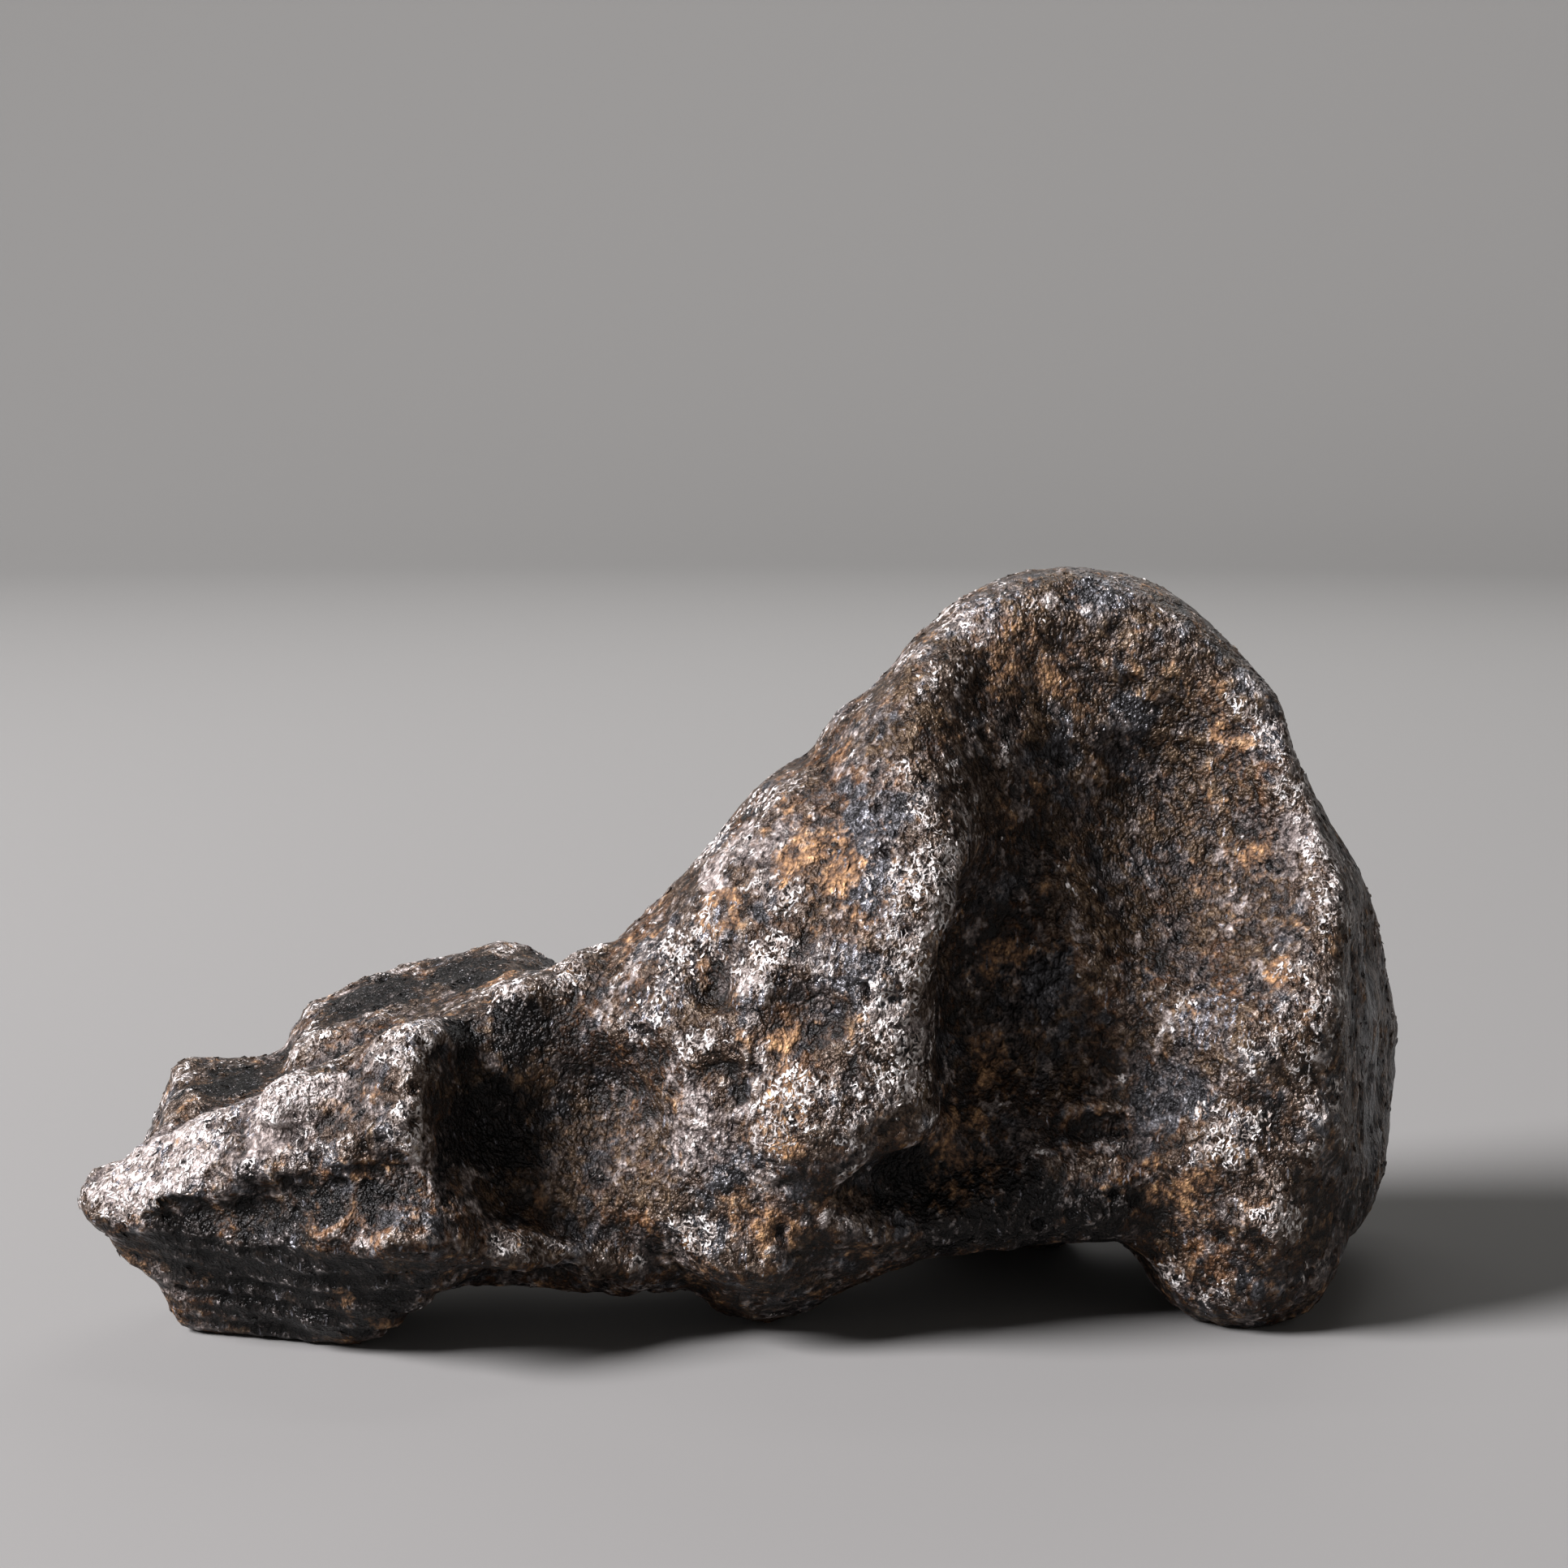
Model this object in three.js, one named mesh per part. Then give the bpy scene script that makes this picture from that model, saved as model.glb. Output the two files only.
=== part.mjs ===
// A whole iron meteorite, as it fell: a solid lump of nickel-iron with a tall crest, a long spur and
// thumbprint hollows melted into it. It stands on small worn flats under its feet.
// Millimetres. +X runs along the length from the spur's tip to the crest's end, +Y runs away from
// whoever looks at the hollowed face, and +Z is up. The origin is under the middle of the bounding box.
import * as THREE from "three";
import { ImprovedNoise } from "three/addons/math/ImprovedNoise.js";

// Grid on which the surface is found: its spacing, and the room that it fills.
const CELL = 1.9;
const ROOM = new THREE.Box3(new THREE.Vector3(-51.5, -27.6, -5.5), new THREE.Vector3(58, 30, 60));

// How the triangles are evened out: rounds, the share of the way to the middle of a vertex's
// neighbours, and the pulls back onto the surface in each round.
const ROUNDS = 4;
const SLIDE = 0.5;
const PULLS = 2;

// The body's cross sections: 2 is an ellipse and more is boxier, and the smallest half size of one.
const SECTION_ROUNDNESS = 2.2;
const THINNEST = 1.5;

// The waves all over the surface, from broad to fine.
const SWELLS = [
  { height: 0.5, length: 8 },
  { height: 0.32, length: 3.7 },
];

// The body's long outline: [x, value] from inside the spur to the crest's end.
const BODY_START = -33;
const BODY_END = 53;
const TOP = [
  [-33, 16], [-23.6, 21.5], [-17.9, 24.2], [-10.3, 26.8], [-3.9, 32.7], [2.1, 39.2], [6, 41.8],
  [9.6, 45.9], [16, 52.2], [23.6, 54.4], [28, 53.8], [33, 51.4], [37, 47.6], [40.2, 41.5],
  [42.8, 36.6], [47.8, 30], [54, 22],
];
const BOTTOM = [
  [-33, 4], [-20, 3.4], [-12.4, 3.4], [-4, 2.4], [0.9, 1], [5, 2], [10.8, 4.5],
  [15.4, 6], [20.6, 6], [27, 4], [35, 1], [40, 1], [46, 4], [52, 8],
];
const FRONT = [
  [-33, -13], [-22, -14], [-15, -12.5], [-8, -13.5], [0, -15.5], [8, -16], [13, -15],
  [19, -10.8], [28, -10.8], [38, -12], [44, -9], [54, 0],
];
const BACK = [
  [-33, -3], [-20, 3], [-8, 9], [4, 13], [20, 17], [34, 19], [44, 18], [54, 14],
];

// Where each section is widest: its height, and its depth.
const WAIST_HEIGHT = [
  [-33, 9.5], [-22, 11], [-10, 12.5], [0, 14], [20, 16], [40, 16], [54, 15],
];
const WAIST_DEPTH = [
  [-33, -8], [-10, -3], [10, 1], [24, 4.5], [54, 5],
];

// What stands out of the body. Each blend is the width of the fillet round it. A chunk is bounded by
// flats, each given by a point on it and the way it faces, with its edges rounded by edge. A rib
// follows points of [x, y, z, radius]. An ellipsoid has half sizes, and is turned by degrees.
const ADDED = [
  {
    name: "spur",
    blend: 2.5,
    edge: 1.2,
    flats: [
      { at: [-41.1, -15, 11.1], facing: [-0.39, -0.7, 0.59] },
      { at: [-41.1, -15, 11.1], facing: [-0.28, -0.8, -0.54] },
      { at: [-24, -13, 2], facing: [0.12, -0.75, -0.65] },
      { at: [-20.8, -24, 13.8], facing: [0.85, -0.3, 0.42] },
      { at: [-40.5, -9, 0.8], facing: [-0.85, 0.1, -0.52] },
      { at: [-24.2, -14, 23.5], facing: [-0.38, 0.3, 0.87] },
      { at: [-34, 0, 10], facing: [-0.25, 0.95, 0.1] },
      { at: [-33.9, -10, -0.9], facing: [0.1, 0.12, -0.98] },
      { at: [-26, -8, 0.9], facing: [0.6, 0.1, -0.8] },
    ],
  },
  {
    name: "back shelf",
    blend: 1.5,
    edge: 1,
    flats: [
      { at: [-24, 3, 23.9], facing: [-0.2, -0.15, 0.97] },
      { at: [-32, 3, 21.6], facing: [-0.55, -0.1, 0.83] },
      { at: [-34.3, 2, 15], facing: [-0.98, -0.1, 0.1] },
      { at: [-20, 8.5, 15], facing: [-0.2, 0.97, 0.1] },
      { at: [-20, 0, 6], facing: [-0.1, 0.2, -0.97] },
      { at: [-16, -8, 15], facing: [-0.1, -0.95, 0.2] },
      { at: [-15, 0, 24.3], facing: [0.5, 0, 0.86] },
      { at: [-8, 0, 15], facing: [1, 0, 0] },
    ],
  },
  {
    name: "back knob",
    blend: 1.5,
    edge: 1,
    flats: [
      { at: [-38, -2, 18.1], facing: [0.02, -0.15, 0.98] },
      { at: [-42.3, -3, 16], facing: [-0.9, -0.2, 0.35] },
      { at: [-38, 1.5, 12], facing: [-0.2, 0.97, 0.05] },
      { at: [-38, -2, 5.5], facing: [-0.2, 0.15, -0.97] },
      { at: [-38, -10, 12], facing: [-0.1, -0.98, 0.1] },
      { at: [-30, 0, 10], facing: [1, 0, 0] },
    ],
  },
  {
    name: "front ridge",
    blend: 3,
    points: [
      [8.5, 0, 42, 2.5], [14.5, -4.5, 39, 3.5], [15.2, -8.6, 35, 3.8], [11.2, -11.2, 30, 4.4],
      [9.8, -11.4, 26.5, 4.6], [9.4, -11.4, 21.5, 4.7], [6.8, -10.6, 17, 4.4],
    ],
  },
  {
    name: "right rim",
    blend: 4,
    points: [
      [37, -1, 44, 1.4], [38.9, -3.5, 38, 1.5], [41, -6, 31, 1.7], [41.4, -8.5, 24, 2], [41, -8.5, 15, 3],
    ],
  },
  {
    name: "low ridge",
    blend: 5,
    points: [[25, -2, 33, 2.6], [31, -5.5, 27, 3], [38, -7.5, 23.5, 3]],
  },
  {
    name: "lower lip",
    blend: 4,
    points: [[3, -8, 6, 3.2], [13, -8, 9, 3], [24, -7.8, 9.5, 2.8]],
  },
  {
    name: "spur's lower edge",
    blend: 1.6,
    points: [
      [-27.8, -19.6, 11.8, 1.2], [-23, -20.1, 11.1, 1.4], [-18, -17.4, 9.4, 1.4], [-13.5, -14, 7.6, 1.5],
      [-8, -11, 6, 1.6],
    ],
  },
  {
    name: "hollow's rim",
    blend: 1,
    points: [[-24.4, -14.8, 22.1, 1.2], [-17.6, -9.8, 24, 1.4], [-10.4, -4.4, 26, 1.4]],
  },
  {
    name: "rear rib",
    blend: 4,
    points: [[24, 8, 45, 3], [20, 13.5, 34, 3.2], [13.5, 15.5, 24, 3.4], [15, 16.5, 15, 3.4], [21, 15, 8, 4]],
  },
  { name: "spur rim lump", blend: 2, at: [-30.6, -15.2, 18.8], size: [2.6, 1.9, 1.7], turn: [0, -20, 0] },
  { name: "slate boss", blend: 1, at: [23.4, -4.2, 21.2], size: [2.8, 2.2, 3.2], turn: [0, 0, 0] },
  { name: "right lump", blend: 1.5, at: [33.5, -9.8, 16.4], size: [3.4, 2.4, 2.8], turn: [0, 20, 0] },
  { name: "right lower lump", blend: 1.5, at: [37.2, -10, 10.4], size: [2.8, 2.4, 3.2], turn: [0, 0, 0] },
  { name: "face lump", blend: 3, at: [5.2, -14.2, 17], size: [3.6, 2.4, 3], turn: [0, -20, 0] },
  { name: "lower face lump", blend: 2, at: [0.6, -12.6, 8], size: [4, 2.6, 2.8], turn: [0, 0, 0] },
  { name: "rear bulge", blend: 3, at: [44, 12, 10.5], size: [8.3, 9, 7.6], turn: [0, 0, 0] },
  { name: "right foot", blend: 5, at: [36.5, -5, 4.5], size: [6, 5.5, 5], turn: [0, 0, 0] },
  { name: "middle foot", blend: 3, at: [1.5, -6, 4.4], size: [4.4, 4, 4.2], turn: [0, 0, 0] },
  { name: "rear foot", blend: 5, at: [20, 12, 4.6], size: [8, 6, 5.8], turn: [0, 0, 0] },
];

// What is broken off it and melted out of it, in the same terms: each blend rounds the edge that is
// left, and one flat alone takes off everything beyond it.
const CARVED = [
  { name: "crest end", blend: 3, at: [47.7, 4, 23.7], facing: [0.94, -0.33, 0.03] },
  {
    name: "front underside",
    blend: 1.4,
    edge: 2,
    flats: [
      { at: [-20.8, -24, 12.6], facing: [0.04, 0.57, 0.82] },
      { at: [-24.5, -10, 2], facing: [-0.75, -0.4, 0.3] },
    ],
  },
  {
    name: "ridge channel",
    blend: 3.4,
    points: [
      [18.2, -8.4, 44.5, 2], [20.8, -8.8, 40, 3.3], [21.3, -9.1, 34.5, 4.6], [18.4, -10.8, 27.5, 5.4],
      [17.8, -10.8, 21.5, 4.9], [17, -12, 16, 3.4],
    ],
  },
  {
    name: "undercut",
    blend: 1.2,
    points: [
      [17.4, -11.6, 14.4, 2.8], [13, -14, 12.6, 3.4], [9.4, -15.4, 11.8, 2.6], [6.6, -16.6, 11, 1.2],
    ],
  },
  { name: "upper right hollow", blend: 3, at: [30.2, -26, 39.5], size: [17, 26, 21], turn: [0, 0, 0] },
  { name: "crest face", blend: 3, at: [25, -24, 49], size: [18, 23.2, 15.5], turn: [0, 0, 0] },
  { name: "lower right hollow", blend: 4, at: [24.5, -18, 20.5], size: [9.5, 11.4, 7.5], turn: [0, 15, 0] },
  { name: "bowl ledge", blend: 1, at: [26, -9.4, 15], size: [4.6, 2.4, 1], turn: [0, 6, 0] },
  { name: "left hollow", blend: 3, at: [-13.6, -27, 17.8], size: [9.6, 18.6, 9.4], turn: [0, 0, -10] },
  { name: "socket", blend: 0.8, at: [-1.3, -16.8, 20], size: [2.8, 3.6, 2.3], turn: [0, 0, 0] },
  { name: "face hollow", blend: 1.5, at: [4.5, -16.4, 25.4], size: [3.4, 2.2, 2.6], turn: [0, -30, 0] },
  { name: "upper face hollow", blend: 1.5, at: [-3.4, -13.2, 27.6], size: [3, 2.4, 2.6], turn: [0, 0, 0] },
  {
    name: "spur groove",
    blend: 0.8,
    points: [
      [-40.6, -14.8, 9.9, 0.8], [-37.5, -15.7, 10.5, 1.7], [-33.4, -17.2, 11.6, 2.2],
      [-30.5, -18.9, 12.7, 2.4], [-27.5, -20.8, 13.7, 3], [-24, -21.9, 14.9, 3.7], [-20.4, -21.6, 15.3, 3.4],
    ],
  },
  { name: "lower spur lens", blend: 0.8, at: [-33.6, -14.6, 4.2], size: [7, 1.8, 1.5], turn: [35, -4, -18] },
  { name: "arch", blend: 1.6, at: [18, -0.7, -6], size: [12, 15, 12.9], turn: [0, 0, 0] },
  { name: "rear middle hollow", blend: 3, at: [2, 28, 23], size: [14, 19, 10], turn: [0, 10, 0] },
  { name: "rear high hollow", blend: 3, at: [33, 34, 35], size: [11, 23, 16], turn: [0, 18, 0] },
  { name: "rear low hollow", blend: 2, at: [34, 31, 9], size: [11, 14, 6], turn: [0, -12, 0] },
  { name: "rear crest hollow", blend: 3, at: [14, 29, 42], size: [13, 20, 7], turn: [0, -42, 0] },
  { name: "rear waist hollow", blend: 3, at: [-8, 20, 14], size: [9, 12.5, 8], turn: [0, 0, 0] },
  { name: "right side hollow", blend: 3, at: [60, 2, 27], size: [14, 10, 9], turn: [0, 0, 0] },
  { name: "spur's rear hollow", blend: 2, at: [-27, 16, 13], size: [8, 9.5, 6], turn: [0, 0, 0] },
];

// Bare metal under a thin brown skin.
const FINISH = { color: 0x4a3f38, metalness: 0.6, roughness: 0.55 };

// Guards against dividing by nothing: beside a section's middle, and where a slope is flat.
const NEAR_MIDDLE = 0.05;
const FLAT_SLOPE = 0.05;
const SLOPE_STEP = 0.05;

const noise = new ImprovedNoise();

// A smooth curve through [x, value] points.
function profile(points) {
  const xs = points.map((p) => p[0]);
  const values = points.map((p) => p[1]);
  const curve = new THREE.CubicInterpolant(xs, values, 1);
  return (x) => curve.evaluate(x)[0];
}

const top = profile(TOP);
const bottom = profile(BOTTOM);
const front = profile(FRONT);
const back = profile(BACK);
const waistHeight = profile(WAIST_HEIGHT);
const waistDepth = profile(WAIST_DEPTH);

// Joins two distances with a fillet, and carves one out of the other with a rounded edge.
function join(a, b, blend) {
  const h = Math.max(blend - Math.abs(a - b), 0) / blend;
  return Math.min(a, b) - (h * h * blend) / 4;
}
function carve(a, b, blend) {
  return -join(-a, b, blend);
}

// The body, lofted along the length.
function body(p) {
  const waist = { y: waistDepth(p.x), z: waistHeight(p.x) };
  const depth = p.y - waist.y;
  const height = p.z - waist.z;
  const halfDepth = Math.max(depth < 0 ? waist.y - front(p.x) : back(p.x) - waist.y, THINNEST);
  const halfHeight = Math.max(height < 0 ? waist.z - bottom(p.x) : top(p.x) - waist.z, THINNEST);
  const share = Math.pow(
    Math.pow(Math.abs(depth) / halfDepth, SECTION_ROUNDNESS) +
      Math.pow(Math.abs(height) / halfHeight, SECTION_ROUNDNESS),
    1 / SECTION_ROUNDNESS,
  );
  const reach = Math.hypot(depth, height);
  const side = share > NEAR_MIDDLE ? reach * (1 - 1 / share) : -Math.min(halfDepth, halfHeight);
  return Math.max(side, BODY_START - p.x, p.x - BODY_END);
}

function ellipsoid({ at, size, turn }) {
  const centre = new THREE.Vector3(...at);
  const radii = new THREE.Vector3(...size);
  const angles = new THREE.Euler(...turn.map((degrees) => THREE.MathUtils.degToRad(degrees)));
  const unturn = new THREE.Quaternion().setFromEuler(angles).invert();
  const q = new THREE.Vector3();
  return (p) => {
    const share = q.copy(p).sub(centre).applyQuaternion(unturn).divide(radii).length();
    return share > NEAR_MIDDLE ? (share * (share - 1)) / q.divide(radii).length() : -Math.min(...size);
  };
}

function flatBreak({ at, facing }) {
  const outward = new THREE.Vector3(...facing).normalize();
  const plane = new THREE.Plane().setFromNormalAndCoplanarPoint(outward, new THREE.Vector3(...at));
  return (p) => -plane.distanceToPoint(p);
}

// The farthest flat counts, rounded where two flats meet.
function chunk({ flats, edge }) {
  const breaks = flats.map(flatBreak);
  return (p) => breaks.reduce((d, flat) => carve(d, flat(p), edge), -Infinity);
}

function rib({ points }) {
  const parts = points.slice(1).map((to, i) => ({
    line: new THREE.Line3(new THREE.Vector3(...points[i]), new THREE.Vector3(...to)),
    from: points[i][3],
    to: to[3],
  }));
  const nearest = new THREE.Vector3();
  return (p) => {
    let least = Infinity;
    for (const part of parts) {
      const along = part.line.closestPointToPointParameter(p, true);
      const radius = THREE.MathUtils.lerp(part.from, part.to, along);
      least = Math.min(least, part.line.at(along, nearest).distanceTo(p) - radius);
    }
    return least;
  };
}

function shaped(feature) {
  const make = feature.points ? rib : feature.facing ? flatBreak : feature.flats ? chunk : ellipsoid;
  return { ...feature, distance: make(feature) };
}

const added = ADDED.map(shaped);
const carved = CARVED.map(shaped);

// How far a point lies outside the lump: negative inside, zero on its surface.
function distance(p) {
  let d = body(p);
  for (const feature of added) {
    d = join(d, feature.distance(p), feature.blend);
  }
  for (const feature of carved) {
    d = carve(d, feature.distance(p), feature.blend);
  }
  for (const { height, length } of SWELLS) {
    d += height * noise.noise(p.x / length, p.y / length, p.z / length);
  }
  return d;
}

function gradient(p) {
  const slope = (axis) => {
    const ahead = p.clone();
    const behind = p.clone();
    ahead[axis] += SLOPE_STEP;
    behind[axis] -= SLOPE_STEP;
    return (distance(ahead) - distance(behind)) / (2 * SLOPE_STEP);
  };
  return new THREE.Vector3(slope("x"), slope("y"), slope("z"));
}

// Finds the surface: one vertex in each grid cell that it crosses, and two triangles across each grid
// edge that it crosses.
function meshSurface() {
  const size = ROOM.getSize(new THREE.Vector3());
  const count = ["x", "y", "z"].map((axis) => Math.ceil(size[axis] / CELL) + 1);
  const stride = [1, count[0], count[0] * count[1]];
  const at = (i, j, k) => i * stride[0] + j * stride[1] + k * stride[2];
  const corner = (i, j, k) => new THREE.Vector3(i, j, k).multiplyScalar(CELL).add(ROOM.min);
  const field = new Float64Array(count[0] * count[1] * count[2]);
  for (let k = 0; k < count[2]; k++)
    for (let j = 0; j < count[1]; j++)
      for (let i = 0; i < count[0]; i++) field[at(i, j, k)] = distance(corner(i, j, k));

  const vertexOf = new Map();
  const points = [];
  for (let k = 0; k < count[2] - 1; k++)
    for (let j = 0; j < count[1] - 1; j++)
      for (let i = 0; i < count[0] - 1; i++) {
        const middle = new THREE.Vector3();
        let crossings = 0;
        for (const axis of [0, 1, 2])
          for (const u of [0, 1])
            for (const v of [0, 1]) {
              const low = [i, j, k];
              low[(axis + 1) % 3] += u;
              low[(axis + 2) % 3] += v;
              const a = field[at(...low)];
              const b = field[at(...low) + stride[axis]];
              if (a < 0 === b < 0) continue;
              const cut = corner(...low);
              cut.setComponent(axis, cut.getComponent(axis) + (CELL * a) / (a - b));
              middle.add(cut);
              crossings++;
            }
        if (!crossings) continue;
        vertexOf.set(at(i, j, k), points.length);
        points.push(middle.divideScalar(crossings));
      }

  const faces = [];
  for (const axis of [0, 1, 2]) {
    const u = stride[(axis + 1) % 3];
    const v = stride[(axis + 2) % 3];
    for (let n = 0; n < field.length - stride[axis]; n++) {
      if (field[n] < 0 === field[n + stride[axis]] < 0) continue;
      const ring = [n, n - u, n - u - v, n - v].map((cell) => vertexOf.get(cell));
      if (field[n] >= 0) ring.reverse();
      const [a, b, c, d] = ring;
      const shorter = points[a].distanceTo(points[c]) < points[b].distanceTo(points[d]);
      faces.push(...(shorter ? [a, b, c, a, c, d] : [b, c, d, b, d, a]));
    }
  }
  return { points, faces };
}

// Evens out the triangles by sliding the vertices along the surface, and sets them on it.
function relax({ points, faces }) {
  const around = points.map(() => new Set());
  for (let n = 0; n < faces.length; n += 3)
    for (const [a, b] of [[0, 1], [1, 2], [2, 0]]) {
      around[faces[n + a]].add(faces[n + b]);
      around[faces[n + b]].add(faces[n + a]);
    }
  for (let round = 0; round < ROUNDS; round++) {
    const means = around.map((near) => {
      const mean = new THREE.Vector3();
      for (const n of near) mean.add(points[n]);
      return mean.divideScalar(near.size);
    });
    points.forEach((p, n) => {
      p.lerp(means[n], SLIDE);
      for (let pull = 0; pull < PULLS; pull++) {
        const slope = gradient(p);
        p.addScaledVector(slope, -distance(p) / Math.max(slope.lengthSq(), FLAT_SLOPE));
      }
    });
  }
}

// The feet reach a little below the ground, and are worn flat there.
function makeMeteorite() {
  const surface = meshSurface();
  relax(surface);
  for (const p of surface.points) p.z = Math.max(p.z, 0);
  const geometry = new THREE.BufferGeometry().setFromPoints(surface.points);
  geometry.setIndex(surface.faces);
  geometry.computeBoundingBox();
  const centre = geometry.boundingBox.getCenter(new THREE.Vector3());
  return geometry.translate(-centre.x, -centre.y, 0);
}

const meteorite = new THREE.Mesh(makeMeteorite(), new THREE.MeshStandardMaterial(FINISH));
meteorite.name = "meteorite";

const group = new THREE.Group();
group.add(meteorite);

export default group;
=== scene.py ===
"""Looks of a whole iron meteorite: its fine skin of scales, pits and layers, its rust, crust and bare metal.

Places and sizes are in millimetres in the frame of the part, +Z up and +X towards the crest's end, unless a
name says metres. Blender's own units are metres.
"""
import math

import bpy
import numpy as np
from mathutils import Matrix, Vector, noise


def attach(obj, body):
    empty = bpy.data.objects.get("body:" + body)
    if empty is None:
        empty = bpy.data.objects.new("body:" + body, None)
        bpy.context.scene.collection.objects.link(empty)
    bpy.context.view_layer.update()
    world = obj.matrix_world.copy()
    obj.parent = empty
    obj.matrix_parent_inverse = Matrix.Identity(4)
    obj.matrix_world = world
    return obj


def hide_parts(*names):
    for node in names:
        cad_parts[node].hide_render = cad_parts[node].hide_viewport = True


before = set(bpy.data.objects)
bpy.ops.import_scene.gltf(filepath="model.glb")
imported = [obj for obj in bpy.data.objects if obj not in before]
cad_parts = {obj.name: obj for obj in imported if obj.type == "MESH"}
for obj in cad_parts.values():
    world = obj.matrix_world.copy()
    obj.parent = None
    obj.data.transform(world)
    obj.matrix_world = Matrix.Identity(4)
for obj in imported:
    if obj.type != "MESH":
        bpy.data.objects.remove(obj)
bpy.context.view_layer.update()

MM = 0.001

# The camera that the object is seen by: where it stands, how far it is tipped down, and its lens.
CAMERA_AT = (0.656, -200.36, 66.9)
CAMERA_TIPPED_DEGREES = 8
LENS = 63.6
SENSOR = 36

# How finely the skin is divided, and how it is evened out: each round moves a point a share of the way to
# the middle of its neighbours and then almost as far back, so that the form keeps its size.
DIVISIONS = 2
EASE_ROUNDS = 6
EASE = 0.5
UNEASE = -0.53

# Edges lost between the solid's coarse points are drawn out again: rounds of smoothing that they are
# measured against, and how much is added.
SHARPEN_ROUNDS = 14
SHARPEN = 0.7


class Skin:
    """A closed triangle mesh: its points, and the three corners of each face."""

    def __init__(self, points, faces):
        self.points = points
        self.faces = faces
        sides = np.sort(np.vstack([faces[:, [0, 1]], faces[:, [1, 2]], faces[:, [2, 0]]]), axis=1)
        self.edges, self.side_edge = np.unique(sides, axis=0, return_inverse=True)
        self.degree = np.bincount(self.edges.ravel(), minlength=len(points))

    def quartered(self):
        """Each triangle cut into four at the middles of its sides."""
        middles = self.points[self.edges].mean(axis=1)
        ab, bc, ca = self.side_edge.reshape(3, -1) + len(self.points)
        a, b, c = self.faces.T
        quarters = (a, ab, ca), (ab, b, bc), (ca, bc, c), (ab, bc, ca)
        faces = np.vstack([np.stack(quarter, axis=1) for quarter in quarters])
        return Skin(np.vstack([self.points, middles]), faces)

    def near_mean(self, values):
        """The mean of each point's neighbours."""
        a, b = self.edges.T
        columns = values.reshape(len(values), -1).T
        sums = [
            np.bincount(a, column[b], len(values)) + np.bincount(b, column[a], len(values))
            for column in columns
        ]
        return (np.array(sums) / self.degree).T.reshape(values.shape)

    def blurred(self, values, rounds):
        """Each point's value drawn towards its neighbours', again and again."""
        for _ in range(rounds):
            values = values + EASE * (self.near_mean(values) - values)
        return values

    def eased(self, rounds):
        """Evened out with its size kept."""
        points = self.points
        for _ in range(rounds):
            for share in (EASE, UNEASE):
                points = points + share * (self.near_mean(points) - points)
        return Skin(points, self.faces)

    def normals(self):
        """Which way each point of the surface faces."""
        a, b, c = (self.points[corner] for corner in self.faces.T)
        crossed = np.cross(b - a, c - a)
        sums = np.zeros_like(self.points)
        for corner in self.faces.T:
            np.add.at(sums, corner, crossed)
        return sums / np.linalg.norm(sums, axis=1, keepdims=True)

    def bulge(self, rounds):
        """How far each point stands out of its blurred surroundings, and below 0 how far it lies in them."""
        blurred = self.blurred(self.points, rounds)
        return np.einsum("ij,ij->i", self.points - blurred, self.normals())


# How thin the crests of ridged noise are, and how far apart the middles of cells are drawn before each is
# given its random number.
CREST_SHARPNESS = 1.4
CELL_SPREAD = 7.3


def solid_skin(node):
    """The node's own mesh in millimetres, its loose triangles joined."""
    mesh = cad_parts[node].data
    mesh.calc_loop_triangles()
    points = np.empty(len(mesh.vertices) * 3)
    mesh.vertices.foreach_get("co", points)
    corners = np.empty(len(mesh.loop_triangles) * 3, dtype=np.int32)
    mesh.loop_triangles.foreach_get("vertices", corners)
    joined, place = np.unique(np.round(points.reshape(-1, 3) / MM, 3), axis=0, return_inverse=True)
    faces = place.ravel()[corners].reshape(-1, 3)
    distinct = (faces[:, 0] != faces[:, 1]) & (faces[:, 1] != faces[:, 2]) & (faces[:, 2] != faces[:, 0])
    return Skin(joined, faces[distinct])


def waves(points, length, seed):
    """Smooth noise from -1 to 1 whose waves have that length."""
    return np.array([noise.noise(p) for p in (points / length + seed).tolist()])


def crinkles(points, length, seed, octaves=3):
    """Ridged noise, at most 1: thin crests between rounded hollows."""
    return 1 - CREST_SHARPNESS * np.abs(
        sum(waves(points, length / 2**k, seed + k) / 2**k for k in range(octaves))
    )


def cells(points, size, seed):
    """Distance from the middle of the nearest cell and to its border, and a random number of that cell."""
    found = [noise.voronoi(p) for p in (points / size + seed).tolist()]
    first, second = np.array([distances[:2] for distances, _ in found]).T
    lot = np.array([noise.cell(middles[0] * CELL_SPREAD) for _, middles in found])
    return first * size, (second - first) * size, lot % 1.0


def step(values, low, high):
    """From 0 at low to 1 at high, with soft ends."""
    share = np.clip((values - low) / (high - low), 0, 1)
    return share * share * (3 - 2 * share)


def spot(points, at, size):
    """A soft spot round a place: 1 in the middle and 0 past its size."""
    return step(np.linalg.norm((points - at) / size, axis=1), 1, 0)


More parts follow.
